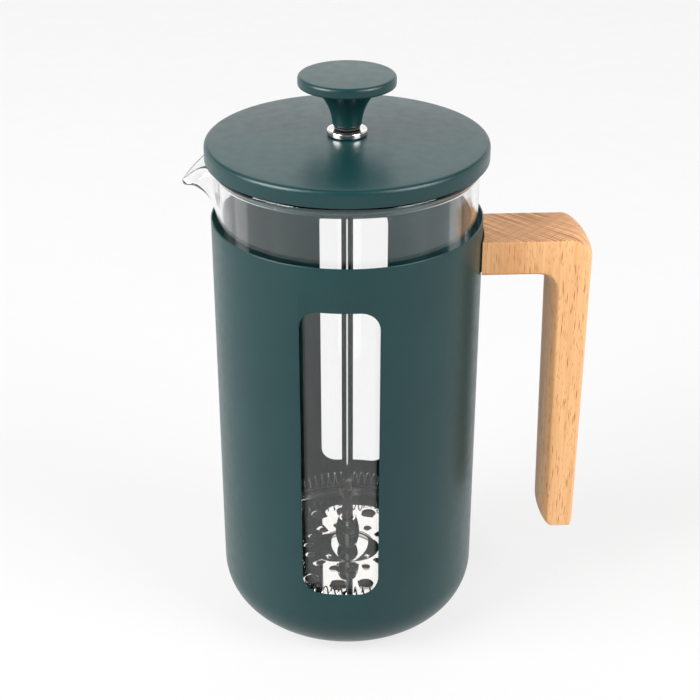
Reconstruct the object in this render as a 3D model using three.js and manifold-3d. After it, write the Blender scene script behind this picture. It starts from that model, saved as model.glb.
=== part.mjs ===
// A French press: a painted steel sleeve with two windows and a wooden handle, a glass
// beaker that lifts out of it, a lid, and a plunger whose filter slides in the glass.
//
// Millimetres, +Z up. The origin is the centre of the rest face under the foot pad.
// The handle is on the +X side, the spout along -X and the windows along -Y and +Y.
// The plunger is stored pushed down, with its knob resting on the lid's collar.

import * as THREE from 'three';
import { mergeVertices } from 'three/addons/utils/BufferGeometryUtils.js';
import Module from 'manifold-3d';

const wasm = await Module();
wasm.setup();

// ---------------------------------------------------------------- driving dimensions

const GAP = 0.3; // clearance left between neighbouring pieces

const SLEEVE_RADIUS = 50;
const SLEEVE_WALL = 0.6;
const SLEEVE_TOP = 169.3;
const SLEEVE_BOTTOM = 0.3;
const SLEEVE_CORNER_TOP = 21.4; // height where the rounded base becomes the straight wall
const FOOT_RADIUS = 26.4;
const FOOT_HEIGHT = 1;
const BASE_PAD_RADIUS = 25;
const BASE_PAD_HEIGHT = 1.5;

const WINDOW_BOTTOM = 33.1;
const WINDOW_TOP = 152.5;
const WINDOW_HALF_WIDTH = 14.3;
const WINDOW_CORNER = 7;

const GLASS_RADIUS = 48;
const GLASS_WALL = 2.2;
const GLASS_FLOOR = 2.6;
const GLASS_CORNER = 18;
const RIM_TOP = 191.5;
const SPOUT_ROOT = 163; // height where the wall starts to bulge into the spout
const SPOUT_HALF_ANGLE = THREE.MathUtils.degToRad(20); // half of the spout seen from above
const SPOUT_TIP_ROUND = THREE.MathUtils.degToRad(2);
const SPOUT_REACH = 12.3; // how far the lip is pulled out at its tip
const SPOUT_DROP = 10.2; // how far the lip dips at its tip
const SPOUT_GATHER = 0.4; // how strongly the wall's facets are drawn together at the spout
const SPOUT_FLARE = 2.2; // exponent of the bulge: higher keeps it nearer to the lip
const RIM_SECTION = [[1, -3.2], [1.9, -2], [1.9, -0.8], [0.9, 0], [-0.5, -0.4]]; // from the wall's top
const RIM_STRAIGHT = 7; // the part of the wall below the rim's top that carries the bead

const LID_RADIUS = 51.5;
const LID_BOTTOM = 192;
const LID_TOP = 198.2; // at its edge
const LID_CROWN = 1.5; // how much higher the middle of the lid is than its edge
const LID_WALL = 0.8;
const LID_EDGE = 2.2;
const LINER_SKIRT_RADIUS = 45.2;
const LINER_SKIRT_BOTTOM = 187;
const LINER_SKIRT_WALL = 1.8;
const LINER_PLATE = 2;
const LINER_CHAMFER = 2.5;

const COLLAR_RADIUS = 7.3;
const COLLAR_HEIGHT = 2;
const COLLAR_STEM_RADIUS = 4.7;
const COLLAR_EDGE = 0.5;
const LID_NUT_ACROSS_FLATS = 15;
const LID_NUT_HEIGHT = 3;

const KNOB_RADIUS = 17.6;
const KNOB_TOP = 222;
const KNOB_DISC = 3.8;
const KNOB_STEM_RADIUS = 5.3;
const KNOB_FLARE_RADIUS = 13;
const KNOB_STEM_PULL = { out: 0.6, down: 5.6 }; // how far the stem's curve hangs back from its flare
const KNOB_EDGE = 1.2;
const BUMPER_RADIUS = 4.7;
const BUMPER_HEIGHT = 0.8;

const ROD_RADIUS = 2.2;
const ROD_BOTTOM = 15.2;
const ROD_TOP = 216;
const ROD_CHAMFER = 0.4;

const PLATE_TOP = 21.4; // upper face of the spiral plate's flat floor
const PLATE_SHEET = 0.6;
const PLATE_RADIUS = 42;
const PLATE_RIM_TOP = 23.5;
const PLATE_TURN_UP = 2.2; // width and height of the bend from the floor to the rim
const BOSS_RADIUS = 11.5;
const BOSS_HEIGHT = 0.9;
const PLATE_HOLES = 15;
const SMALL_HOLE = { radius: 1.6, ring: 15.9 };
const LARGE_HOLE = { radius: 2.95, ring: 26.3 };
const HOLE_PHASE = THREE.MathUtils.degToRad(7.2); // turn of the plate on its rod

const SPRING_RING = 42; // radius of the circle that the coil's centre follows
const SPRING_COIL = 3;
const SPRING_WIRE = 0.35;
const SPRING_TURNS = 90;
const SPRING_HEIGHT = 27.8;

const MESH_SHEET = 0.4;
const MESH_RADIUS = 45.3;
const CROSS_RADIUS = 40;
const CROSS_SHEET = 1.1;
const CROSS_SPOKES = 6;
const CROSS_SPOKE_HALF = 3.5;
const CROSS_RIM = 7;
const CROSS_HUB_RADIUS = 12;
const CAP_NUT_ACROSS_FLATS = 9;
const CAP_NUT_BOTTOM = 13.5;

const HUB_TOP = 36;
const HUB_RADIUS = 4.8;
const HUB_END_RADIUS = 3.3;

const HANDLE_TURN = THREE.MathUtils.degToRad(6); // the arm isn't quite square to the windows
const HANDLE_WIDTH = 27.4;
const HANDLE_BACK = 91; // middle of the grip's outer face
const HANDLE_BACK_BOW = 2.5; // how far that face falls away at its two long edges
const HANDLE_INNER_BOW = 2; // how far the side towards the sleeve swells between its edges
const HANDLE_TOP = 162.3;
const ARM_HEIGHT = 12.6;
const GRIP_BOTTOM = 37.6;
const GRIP_FRONT_TOP = 77.7;
const GRIP_FRONT_BOTTOM = 79.9;
const GRIP_END_ROUND = 4;
const HANDLE_OUTER_CORNER = 9;
const HANDLE_INNER_CORNER = 9;
const HANDLE_EDGE = 1.1;
const GASKET_THICKNESS = 0.5;
const GASKET_MARGIN = 0.2; // how far the gasket stays inside the arm's end on every side

const SCREW_ANGLE = THREE.MathUtils.degToRad(6); // each side of the handle's middle
const SCREW_HEAD_RADIUS = 3;
const SCREW_HEAD_THICKNESS = 0.6;
const SCREW_RADIUS = 1.7;
const SCREW_END = 60;
const INSERT_RADIUS = 3;
const INSERT_LENGTH = 10;

const FINE = 48; // segments round the sleeve and the glass
const MEDIUM = 36;
const COARSE = 16;

// ---------------------------------------------------------------- finishes

function finish(color, roughness, metalness, extra = {}) {
  return new THREE.MeshStandardMaterial({ color, roughness, metalness, ...extra });
}

const TEAL_PAINT = () => finish(0x2f4e50, 0.45, 0.1);
const GLASS = () => finish(0xe8efec, 0.05, 0, { transparent: true, opacity: 0.3 });
const STEEL = () => finish(0xc9cbcc, 0.15, 1);
const DARK_RUBBER = () => finish(0x1b1c1d, 0.75, 0);
const BEECH = () => finish(0xd9a878, 0.5, 0);
const BRASS = () => finish(0xb59452, 0.35, 1);

// ---------------------------------------------------------------- geometry helpers

// Points of a circular arc in the (radius, height) plane, from one angle to another in degrees.
function arc(centreR, centreZ, radius, from, to, steps) {
  const points = [];
  for (let i = 0; i <= steps; i += 1) {
    const angle = THREE.MathUtils.degToRad(from + ((to - from) * i) / steps);
    points.push([centreR + radius * Math.cos(angle), centreZ + radius * Math.sin(angle)]);
  }
  return points;
}

// Turns a profile of [radius, height] points about Z. The profile runs counter-clockwise.
function revolve(profile, segments) {
  const points = profile.map(([r, z]) => new THREE.Vector2(r, z));
  const geometry = new THREE.LatheGeometry(points, segments);
  geometry.rotateX(Math.PI / 2);
  return geometry;
}

// A profile that doesn't meet the axis is closed on itself.
function revolveRing(profile, segments) {
  return revolve([...profile, profile[0]], segments);
}

function ringSection(inner, outer, bottom, top) {
  return [[inner, bottom], [outer, bottom], [outer, top], [inner, top]];
}

function cylinderAlongX(radius, from, to, segments) {
  const geometry = new THREE.CylinderGeometry(radius, radius, to - from, segments);
  geometry.rotateZ(Math.PI / 2);
  geometry.translate((from + to) / 2, 0, 0);
  return geometry;
}

function cylinderAlongZ(radius, bottom, top, segments) {
  const geometry = new THREE.CylinderGeometry(radius, radius, top - bottom, segments);
  geometry.rotateX(Math.PI / 2);
  geometry.translate(0, 0, (bottom + top) / 2);
  return geometry;
}

// A shape drawn in X and Z, thickened equally to both sides along Y.
function slabAlongY(shape, width, edge = 0, steps = 1) {
  const geometry = new THREE.ExtrudeGeometry(shape, {
    depth: width - 2 * edge,
    steps,
    bevelEnabled: edge > 0,
    bevelThickness: edge,
    bevelSize: edge,
    bevelOffset: -edge,
    bevelSegments: 2,
    curveSegments: 6,
  });
  geometry.rotateX(Math.PI / 2);
  geometry.translate(0, width / 2 - edge, 0);
  return geometry;
}

function toSolid(geometry) {
  const bare = geometry.clone();
  bare.deleteAttribute('normal');
  bare.deleteAttribute('uv');
  const merged = mergeVertices(bare, 1e-4);
  const triangles = [];
  for (let i = 0; i < merged.index.count; i += 3) {
    const [a, b, c] = [0, 1, 2].map((k) => merged.index.getX(i + k));
    if (a !== b && b !== c && c !== a) triangles.push(a, b, c);
  }
  return new wasm.Manifold(new wasm.Mesh({
    numProp: 3,
    vertProperties: new Float32Array(merged.attributes.position.array),
    triVerts: new Uint32Array(triangles),
  }));
}

function toGeometry(solid) {
  const mesh = solid.getMesh();
  const geometry = new THREE.BufferGeometry();
  geometry.setAttribute('position', new THREE.BufferAttribute(mesh.vertProperties, 3));
  geometry.setIndex(new THREE.BufferAttribute(mesh.triVerts, 1));
  geometry.computeVertexNormals();
  return geometry;
}

function cut(geometry, tools) {
  const solid = tools.reduce((body, tool) => body.subtract(toSolid(tool)), toSolid(geometry));
  return toGeometry(solid);
}

function part(name, geometry, material) {
  const mesh = new THREE.Mesh(geometry, material);
  mesh.name = name;
  return mesh;
}

// ---------------------------------------------------------------- sleeve and its base

const SLEEVE_INNER = SLEEVE_RADIUS - SLEEVE_WALL;
const RECESS_CEILING = FOOT_HEIGHT + GAP;
const RECESS_RADIUS = FOOT_RADIUS + 2 * GAP;
const SLEEVE_FLOOR = RECESS_CEILING + SLEEVE_WALL;
const SCREW_HEIGHT = HANDLE_TOP - ARM_HEIGHT / 2;
const SCREW_SIDES = [-1, 1];

// Moves a piece that lies along X onto the axis of the screw on one side of the handle.
function placeOnScrewAxis(geometry, side) {
  geometry.translate(0, 0, SCREW_HEIGHT);
  geometry.rotateZ(HANDLE_TURN + side * SCREW_ANGLE);
  return geometry;
}

function screwAxisCylinder(side, radius, from, to) {
  return placeOnScrewAxis(cylinderAlongX(radius, from, to, COARSE), side);
}

function roundedWindow() {
  const shape = new THREE.Shape();
  const w = WINDOW_HALF_WIDTH;
  const c = WINDOW_CORNER;
  shape.absarc(w - c, WINDOW_BOTTOM + c, c, -Math.PI / 2, 0, false);
  shape.absarc(w - c, WINDOW_TOP - c, c, 0, Math.PI / 2, false);
  shape.absarc(c - w, WINDOW_TOP - c, c, Math.PI / 2, Math.PI, false);
  shape.absarc(c - w, WINDOW_BOTTOM + c, c, Math.PI, 1.5 * Math.PI, false);
  return shape;
}

function sleeveGeometry() {
  const corner = SLEEVE_CORNER_TOP - SLEEVE_BOTTOM;
  const centre = SLEEVE_RADIUS - corner;
  const rim = SLEEVE_WALL / 4;
  const shell = revolve([
    [0, RECESS_CEILING],
    [RECESS_RADIUS, RECESS_CEILING],
    [RECESS_RADIUS, SLEEVE_BOTTOM],
    ...arc(centre, SLEEVE_CORNER_TOP, corner, -90, 0, 5),
    [SLEEVE_RADIUS, SLEEVE_TOP - rim],
    [SLEEVE_RADIUS - rim, SLEEVE_TOP],
    [SLEEVE_INNER + rim, SLEEVE_TOP],
    [SLEEVE_INNER, SLEEVE_TOP - rim],
    ...arc(centre, SLEEVE_CORNER_TOP, corner - SLEEVE_WALL, 0, -90, 5),
    [RECESS_RADIUS + SLEEVE_WALL, SLEEVE_BOTTOM + SLEEVE_WALL],
    [RECESS_RADIUS + SLEEVE_WALL, SLEEVE_FLOOR],
    [0, SLEEVE_FLOOR],
  ], FINE);
  const windows = slabAlongY(roundedWindow(), 2.4 * SLEEVE_RADIUS);
  const screwHoles = SCREW_SIDES.map((side) => (
    screwAxisCylinder(side, SCREW_RADIUS + GAP, SLEEVE_RADIUS - 5, SLEEVE_RADIUS + 5)
  ));
  return cut(shell, [windows, ...screwHoles]);
}

// A flat round pad with eased edges.
function padGeometry(radius, bottom, height) {
  const ease = height / 4;
  return revolve([
    [0, bottom],
    [radius - ease, bottom],
    [radius, bottom + ease],
    [radius, bottom + height - ease],
    [radius - ease, bottom + height],
    [0, bottom + height],
  ], MEDIUM);
}

function buildSleeve() {
  const group = new THREE.Group();
  group.add(part('sleeve', sleeveGeometry(), TEAL_PAINT()));
  group.add(part('foot_pad', padGeometry(FOOT_RADIUS, 0, FOOT_HEIGHT), DARK_RUBBER()));
  const padBottom = SLEEVE_FLOOR + GAP;
  group.add(part('glass_cushion', padGeometry(BASE_PAD_RADIUS, padBottom, BASE_PAD_HEIGHT), DARK_RUBBER()));
  return group;
}

// ---------------------------------------------------------------- handle

const GASKET_INNER = SLEEVE_RADIUS + GAP;
const GASKET_OUTER = GASKET_INNER + GASKET_THICKNESS;
const HANDLE_ROOT = GASKET_OUTER + GAP;

// Side view of the handle: a level arm that bends down into a grip tapered on its inner face.
function handleOutline() {
  const shape = new THREE.Shape();
  const armBottom = HANDLE_TOP - ARM_HEIGHT;
  const start = SLEEVE_RADIUS - 8;
  const outer = HANDLE_OUTER_CORNER;
  const inner = HANDLE_INNER_CORNER;
  const end = GRIP_END_ROUND;
  shape.moveTo(start, armBottom);
  shape.lineTo(GRIP_FRONT_TOP - inner, armBottom);
  shape.quadraticCurveTo(GRIP_FRONT_TOP, armBottom, GRIP_FRONT_TOP + 0.2, armBottom - inner);
  shape.lineTo(GRIP_FRONT_BOTTOM, GRIP_BOTTOM + end);
  shape.quadraticCurveTo(GRIP_FRONT_BOTTOM, GRIP_BOTTOM, GRIP_FRONT_BOTTOM + end / 2, GRIP_BOTTOM);
  shape.lineTo(HANDLE_BACK - 1, GRIP_BOTTOM);
  shape.lineTo(HANDLE_BACK, GRIP_BOTTOM + 1);
  shape.absarc(HANDLE_BACK - outer, HANDLE_TOP - outer, outer, 0, Math.PI / 2, false);
  shape.lineTo(start, HANDLE_TOP);
  return shape;
}

// Rounds the outer face of the grip across its width.
function bowBack(geometry) {
  const position = geometry.attributes.position;
  const depth = HANDLE_BACK - GRIP_FRONT_BOTTOM;
  for (let i = 0; i < position.count; i += 1) {
    const outward = Math.max((position.getX(i) - GRIP_FRONT_BOTTOM) / depth, 0);
    const aside = Math.abs(position.getY(i)) / (HANDLE_WIDTH / 2);
    position.setX(i, position.getX(i) - HANDLE_BACK_BOW * outward * aside ** 3);
  }
  return geometry;
}

// Swells the arm's underside and the grip's inner face between their long edges.
function bowInner(geometry) {
  const position = geometry.attributes.position;
  const armBottom = HANDLE_TOP - ARM_HEIGHT;
  const { clamp } = THREE.MathUtils;
  for (let i = 0; i < position.count; i += 1) {
    const x = position.getX(i);
    const z = position.getZ(i);
    const pastFront = Math.max(x - GRIP_FRONT_BOTTOM, 0) / (GRIP_END_ROUND / 2);
    const aside = Math.abs(position.getY(i)) / (HANDLE_WIDTH / 2);
    const onInnerSide = z <= armBottom + HANDLE_EDGE ? clamp(1 - pastFront, 0, 1) : 0;
    const swell = HANDLE_INNER_BOW * onInnerSide * Math.max(1 - aside ** 2, 0);
    const acrossCorner = clamp((x - GRIP_FRONT_TOP) / HANDLE_INNER_CORNER + 1, 0, 1);
    const downCorner = clamp((armBottom - z) / HANDLE_INNER_CORNER, 0, 1);
    const turn = (Math.PI / 4) * (acrossCorner + downCorner);
    position.setX(i, x - swell * Math.sin(turn));
    position.setZ(i, z - swell * Math.cos(turn));
  }
  return geometry;
}

function handleGeometry() {
  const slab = slabAlongY(handleOutline(), HANDLE_WIDTH, HANDLE_EDGE, 8);
  const blank = bowInner(bowBack(slab)).rotateZ(HANDLE_TURN);
  const scribe = cylinderAlongZ(HANDLE_ROOT, 0, 2 * HANDLE_TOP, FINE);
  const pockets = SCREW_SIDES.map((side) => (
    screwAxisCylinder(side, INSERT_RADIUS + GAP, HANDLE_ROOT - 2, HANDLE_ROOT + INSERT_LENGTH + 3)
  ));
  return cut(blank, [scribe, ...pockets]);
}

// A thin saddle between the sleeve and the end of the arm.
function gasketGeometry() {
  const margin = HANDLE_EDGE + GASKET_MARGIN;
  const width = HANDLE_WIDTH - 2 * margin;
  const height = ARM_HEIGHT - 2 * margin;
  const block = new THREE.BoxGeometry(8, width, height);
  block.translate(GASKET_INNER, 0, SCREW_HEIGHT);
  block.rotateZ(HANDLE_TURN);
  const disc = cylinderAlongZ(GASKET_OUTER, 0, 2 * HANDLE_TOP, FINE);
  const core = cylinderAlongZ(GASKET_INNER, -10, 2 * HANDLE_TOP + 10, FINE);
  const saddle = toSolid(block).intersect(toSolid(disc)).subtract(toSolid(core));
  const holes = SCREW_SIDES.map((side) => (
    screwAxisCylinder(side, SCREW_RADIUS + GAP, SLEEVE_RADIUS - 5, SLEEVE_RADIUS + 5)
  ));
  return toGeometry(holes.reduce((body, hole) => body.subtract(toSolid(hole)), saddle));
}

// Thin-headed machine screw, its head inside the sleeve, turned from the axis of its hole.
function screwGeometry(side) {
  const headInner = GLASS_RADIUS + GAP + 0.05;
  const headOuter = headInner + SCREW_HEAD_THICKNESS;
  const geometry = revolve([
    [0, headInner],
    [SCREW_HEAD_RADIUS, headInner],
    [SCREW_HEAD_RADIUS, headOuter],
    [SCREW_RADIUS, headOuter],
    [SCREW_RADIUS, SCREW_END - 1],
    [SCREW_RADIUS - 0.7, SCREW_END],
    [0, SCREW_END],
  ], COARSE);
  return placeOnScrewAxis(geometry.rotateY(Math.PI / 2), side);
}

function insertGeometry(side) {
  const start = HANDLE_ROOT + GAP;
  const geometry = revolveRing(
    ringSection(SCREW_RADIUS + GAP, INSERT_RADIUS, start, start + INSERT_LENGTH),
    COARSE,
  );
  return placeOnScrewAxis(geometry.rotateY(Math.PI / 2), side);
}

function buildHandle() {
  const group = new THREE.Group();
  group.add(part('handle', handleGeometry(), BEECH()));
  group.add(part('handle_gasket', gasketGeometry(), DARK_RUBBER()));
  SCREW_SIDES.forEach((side, index) => {
    group.add(part(`handle_screw_${index + 1}`, screwGeometry(side), STEEL()));
    group.add(part(`handle_insert_${index + 1}`, insertGeometry(side), BRASS()));
  });
  return group;
}

// ---------------------------------------------------------------- glass beaker

const CUSHION_TOP = SLEEVE_FLOOR + GAP + BASE_PAD_HEIGHT;
const GLASS_BOTTOM = CUSHION_TOP + GAP;

// Pushes the wall out into the spout and dips the lip towards its tip.
function pullSpout(geometry) {
  const position = geometry.attributes.position;
  for (let i = 0; i < position.count; i += 1) {
    const [x, y, z] = [position.getX(i), position.getY(i), position.getZ(i)];
    const turn = Math.atan2(y, -x);
    const angle = turn - SPOUT_GATHER * Math.sin(turn);
    const offAxis = Math.hypot(angle, SPOUT_TIP_ROUND);
    const nearness = (SPOUT_HALF_ANGLE - offAxis) / (SPOUT_HALF_ANGLE - SPOUT_TIP_ROUND);
    const closeness = Math.max(nearness, 0);
    const height = Math.max((z - SPOUT_ROOT) / (RIM_TOP - SPOUT_ROOT), 0);
    const radius = Math.hypot(x, y) + SPOUT_REACH * (closeness * height) ** SPOUT_FLARE;
    const dip = SPOUT_DROP * closeness ** 3 * height ** 2;
    position.setXYZ(i, -radius * Math.cos(angle), radius * Math.sin(angle), z - dip);
  }
  return geometry;
}

function beakerGeometry() {
  const inner = GLASS_RADIUS - GLASS_WALL;
  const centre = GLASS_RADIUS - GLASS_CORNER;
  const cornerZ = GLASS_BOTTOM + GLASS_CORNER;
  const innerCorner = inner - centre;
  const innerFloor = GLASS_BOTTOM + GLASS_FLOOR;
  const wallSteps = 4;
  const wallRise = (RIM_TOP - RIM_STRAIGHT - SPOUT_ROOT) / wallSteps;
  const wallHeights = Array.from({ length: wallSteps + 1 }, (_, i) => SPOUT_ROOT + i * wallRise);
  return pullSpout(revolve([
    [0, GLASS_BOTTOM],
    ...arc(centre, cornerZ, GLASS_CORNER, -90, 0, 4),
    ...wallHeights.map((z) => [GLASS_RADIUS, z]),
    ...RIM_SECTION.map(([out, up]) => [GLASS_RADIUS + out, RIM_TOP + up]),
    [inner + 0.5, RIM_TOP - 2.4],
    ...wallHeights.toReversed().map((z) => [inner, z]),
    ...arc(centre, innerFloor + innerCorner, innerCorner, 0, -90, 4),
    [0, innerFloor],
  ], FINE));
}

function buildBeaker() {
  const group = new THREE.Group();
  group.add(part('beaker', beakerGeometry(), GLASS()));
  return group;
}

// ---------------------------------------------------------------- lid

const LID_BORE = COLLAR_STEM_RADIUS + GAP;
const COLLAR_BORE = ROD_RADIUS + GAP;
const COLLAR_BOTTOM = LID_TOP + LID_CROWN + GAP;
const COLLAR_TOP = COLLAR_BOTTOM + COLLAR_HEIGHT;
const LINER_TOP = LID_TOP - LID_WALL - GAP;
const LINER_UNDERSIDE = LINER_TOP - LINER_PLATE;
const LID_NUT_TOP = LINER_UNDERSIDE + crownRise(LID_NUT_ACROSS_FLATS / 2) - GAP;
const LID_NUT_BOTTOM = LID_NUT_TOP - LID_NUT_HEIGHT;

// How much the lid has risen towards its middle at one radius.
function crownRise(radius) {
  return LID_CROWN * (1 - (radius / LID_RADIUS) ** 2);
}

// A crowned face of the lid from one radius in to the bore, level with a height at the lid's edge.
function crownedFace(startRadius, edgeHeight) {
  const steps = 4;
  return Array.from({ length: steps + 1 }, (_, i) => {
    const radius = startRadius + ((LID_BORE - startRadius) * i) / steps;
    return [radius, edgeHeight + crownRise(radius)];
  });
}

function lidCoverGeometry() {
  const edgeR = LID_RADIUS - LID_EDGE;
  const edgeZ = LID_TOP - LID_EDGE;
  const faceStart = edgeR - LID_EDGE;
  return revolveRing([
    [LID_RADIUS - LID_WALL, LID_BOTTOM],
    [LID_RADIUS, LID_BOTTOM],
    ...arc(edgeR, edgeZ, LID_EDGE, 0, 90, 3),
    ...crownedFace(faceStart, LID_TOP),
    ...crownedFace(faceStart, LID_TOP - LID_WALL).toReversed(),
    ...arc(edgeR, edgeZ, LID_EDGE - LID_WALL, 90, 0, 3),
  ], FINE);
}

// Plate under the cover, with a flange that sits on the rim and a skirt that enters the glass.
function lidLinerGeometry() {
  const flange = LID_RADIUS - LID_WALL - GAP;
  const seat = RIM_TOP + GAP;
  const skirtInner = LINER_SKIRT_RADIUS - LINER_SKIRT_WALL;
  return revolveRing([
    [skirtInner, LINER_SKIRT_BOTTOM],
    [LINER_SKIRT_RADIUS, LINER_SKIRT_BOTTOM],
    [LINER_SKIRT_RADIUS, seat],
    [flange, seat],
    [flange, LINER_UNDERSIDE],
    ...crownedFace(flange - LINER_CHAMFER, LINER_TOP),
    ...crownedFace(skirtInner, LINER_UNDERSIDE).toReversed(),
  ], FINE);
}

// Flanged bush: the rod runs in its bore and its stem passes down through the lid.
function lidCollarGeometry() {
  const stemEnd = LID_NUT_BOTTOM - GAP;
  return revolveRing([
    [COLLAR_BORE, stemEnd],
    [COLLAR_STEM_RADIUS, stemEnd],
    [COLLAR_STEM_RADIUS, COLLAR_BOTTOM],
    [COLLAR_RADIUS, COLLAR_BOTTOM],
    [COLLAR_RADIUS, COLLAR_TOP - COLLAR_EDGE],
    [COLLAR_RADIUS - COLLAR_EDGE, COLLAR_TOP],
    [COLLAR_BORE, COLLAR_TOP],
  ], COARSE);
}

function hexPrism(acrossFlats, bottom, top) {
  return cylinderAlongZ(acrossFlats / 2 / Math.cos(Math.PI / 6), bottom, top, 6);
}

function lidNutGeometry() {
  const hex = hexPrism(LID_NUT_ACROSS_FLATS, LID_NUT_BOTTOM, LID_NUT_TOP);
  const bore = cylinderAlongZ(LID_BORE, LID_NUT_BOTTOM - 1, LID_NUT_TOP + 1, COARSE);
  return cut(hex, [bore]);
}

function buildLid() {
  const group = new THREE.Group();
  group.add(part('lid_cover', lidCoverGeometry(), TEAL_PAINT()));
  group.add(part('lid_liner', lidLinerGeometry(), TEAL_PAINT()));
  group.add(part('lid_collar', lidCollarGeometry(), STEEL()));
  group.add(part('lid_nut', lidNutGeometry(), STEEL()));
  return group;
}

// ---------------------------------------------------------------- plunger: knob and rod

const ROD_CLEARANCE = ROD_RADIUS + GAP;
const BUMPER_BOTTOM = COLLAR_TOP + GAP;
const KNOB_BOTTOM = BUMPER_BOTTOM + BUMPER_HEIGHT + GAP;

// A flat disc on a stem that flares out concavely towards it, with a blind bore for the rod.
function knobGeometry() {
  const discBottom = KNOB_TOP - KNOB_DISC;
  const stem = new THREE.QuadraticBezierCurve(
    new THREE.Vector2(KNOB_STEM_RADIUS, KNOB_BOTTOM),
    new THREE.Vector2(KNOB_STEM_RADIUS + KNOB_STEM_PULL.out, discBottom - KNOB_STEM_PULL.down),
    new THREE.Vector2(KNOB_FLARE_RADIUS, discBottom),
  );
  return revolve([
    [0, ROD_TOP + GAP],
    [ROD_CLEARANCE, ROD_TOP + GAP],
    [ROD_CLEARANCE, KNOB_BOTTOM],
    ...stem.getPoints(6).map((p) => [p.x, p.y]),
    [KNOB_RADIUS - KNOB_EDGE / 2, discBottom],
    [KNOB_RADIUS, discBottom + KNOB_EDGE / 2],
    ...arc(KNOB_RADIUS - KNOB_EDGE, KNOB_TOP - KNOB_EDGE, KNOB_EDGE, 0, 90, 2),
    [0, KNOB_TOP],
  ], MEDIUM);
}

function bumperGeometry() {
  const top = BUMPER_BOTTOM + BUMPER_HEIGHT;
  return revolveRing(ringSection(ROD_CLEARANCE, BUMPER_RADIUS, BUMPER_BOTTOM, top), COARSE);
}

function rodGeometry() {
  return revolve([
    [0, ROD_BOTTOM],
    [ROD_RADIUS - ROD_CHAMFER, ROD_BOTTOM],
    [ROD_RADIUS, ROD_BOTTOM + ROD_CHAMFER],
    [ROD_RADIUS, ROD_TOP - ROD_CHAMFER],
    [ROD_RADIUS - ROD_CHAMFER, ROD_TOP],
    [0, ROD_TOP],
  ], COARSE);
}

// ---------------------------------------------------------------- plunger: filter

const PLATE_UNDERSIDE = PLATE_TOP - PLATE_SHEET;
const MESH_TOP = PLATE_UNDERSIDE - GAP;
const MESH_UNDERSIDE = MESH_TOP - MESH_SHEET;
const CROSS_TOP = MESH_UNDERSIDE - GAP;
const CROSS_UNDERSIDE = CROSS_TOP - CROSS_SHEET;
const CAP_NUT_TOP = CROSS_UNDERSIDE - GAP;
const HUB_BOTTOM = PLATE_TOP + BOSS_HEIGHT + GAP;

// Height of the plate's central boss above its flat floor.
function bossRise(radius) {
  const t = Math.min(radius / BOSS_RADIUS, 1);
  return BOSS_HEIGHT * (1 - t ** 4);
}

function barrelHubGeometry() {
  const bulge = new THREE.QuadraticBezierCurve(
    new THREE.Vector2(HUB_END_RADIUS, HUB_BOTTOM),
    new THREE.Vector2(2 * HUB_RADIUS - HUB_END_RADIUS, (HUB_BOTTOM + HUB_TOP) / 2),
    new THREE.Vector2(HUB_END_RADIUS, HUB_TOP),
  );
  return revolveRing([
    ...bulge.getPoints(6).map((p) => [p.x, p.y]),
    [ROD_CLEARANCE, HUB_TOP],
    [ROD_CLEARANCE, HUB_BOTTOM],
  ], COARSE);
}

// One sheet, pressed up into a boss round the rod and a low rim at its edge.
function plateProfile() {
  const bossSteps = 4;
  const bossRadii = Array.from({ length: bossSteps + 1 }, (_, i) => (
    ROD_CLEARANCE + (BOSS_RADIUS - ROD_CLEARANCE) * Math.sqrt(i / bossSteps)
  ));
  const bendStart = PLATE_RADIUS - PLATE_TURN_UP;
  const bendEnd = PLATE_UNDERSIDE + PLATE_TURN_UP - PLATE_SHEET;
  const upper = [
    ...bossRadii.map((r) => [r, PLATE_TOP + bossRise(r)]),
    [bendStart, PLATE_TOP],
    [PLATE_RADIUS - PLATE_SHEET, bendEnd],
    [PLATE_RADIUS - PLATE_SHEET, PLATE_RIM_TOP],
  ];
  const lower = [
    ...bossRadii.map((r) => [r, PLATE_UNDERSIDE + bossRise(r)]),
    [bendStart, PLATE_UNDERSIDE],
    [PLATE_RADIUS, bendEnd],
    [PLATE_RADIUS, PLATE_RIM_TOP],
  ];
  return [...lower, ...upper.toReversed()];
}

function plateHoles(hole, phase, segments) {
  return Array.from({ length: PLATE_HOLES }, (_, index) => {
    const angle = -Math.PI / 2 + HOLE_PHASE + (2 * Math.PI * (index + phase)) / PLATE_HOLES;
    const tool = cylinderAlongZ(hole.radius, PLATE_TOP - 2, PLATE_TOP + 2, segments);
    tool.translate(hole.ring * Math.cos(angle), hole.ring * Math.sin(angle), 0);
    return tool;
  });
}

function spiralPlateGeometry() {
  const holes = [...plateHoles(SMALL_HOLE, 0, 6), ...plateHoles(LARGE_HOLE, 0.5, 8)];
  return cut(revolveRing(plateProfile(), MEDIUM), holes);
}

// Centre line of the edge spring: a helix bent round into a ring, a hair short of closing.
class RingHelix extends THREE.Curve {
  constructor() {
    super();
    this.arcLengthDivisions = 40 * SPRING_TURNS;
  }

  getPoint(t, target = new THREE.Vector3()) {
    const span = 2 * Math.PI * (1 - 0.5 / SPRING_TURNS);
    const around = span * t;
    const turn = SPRING_TURNS * around;
    const radius = SPRING_RING + SPRING_COIL * Math.cos(turn);
    return target.set(
      radius * Math.cos(around),
      radius * Math.sin(around),
      SPRING_HEIGHT + SPRING_COIL * Math.sin(turn),
    );
  }
}

function springGeometry() {
  const sides = 3;
  const section = new THREE.Shape(Array.from({ length: sides }, (_, index) => {
    const angle = (2 * Math.PI * index) / sides;
    return new THREE.Vector2(SPRING_WIRE * Math.cos(angle), SPRING_WIRE * Math.sin(angle));
  }));
  return new THREE.ExtrudeGeometry(section, {
    steps: 5 * SPRING_TURNS,
    extrudePath: new RingHelix(),
    bevelEnabled: false,
  });
}

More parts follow.
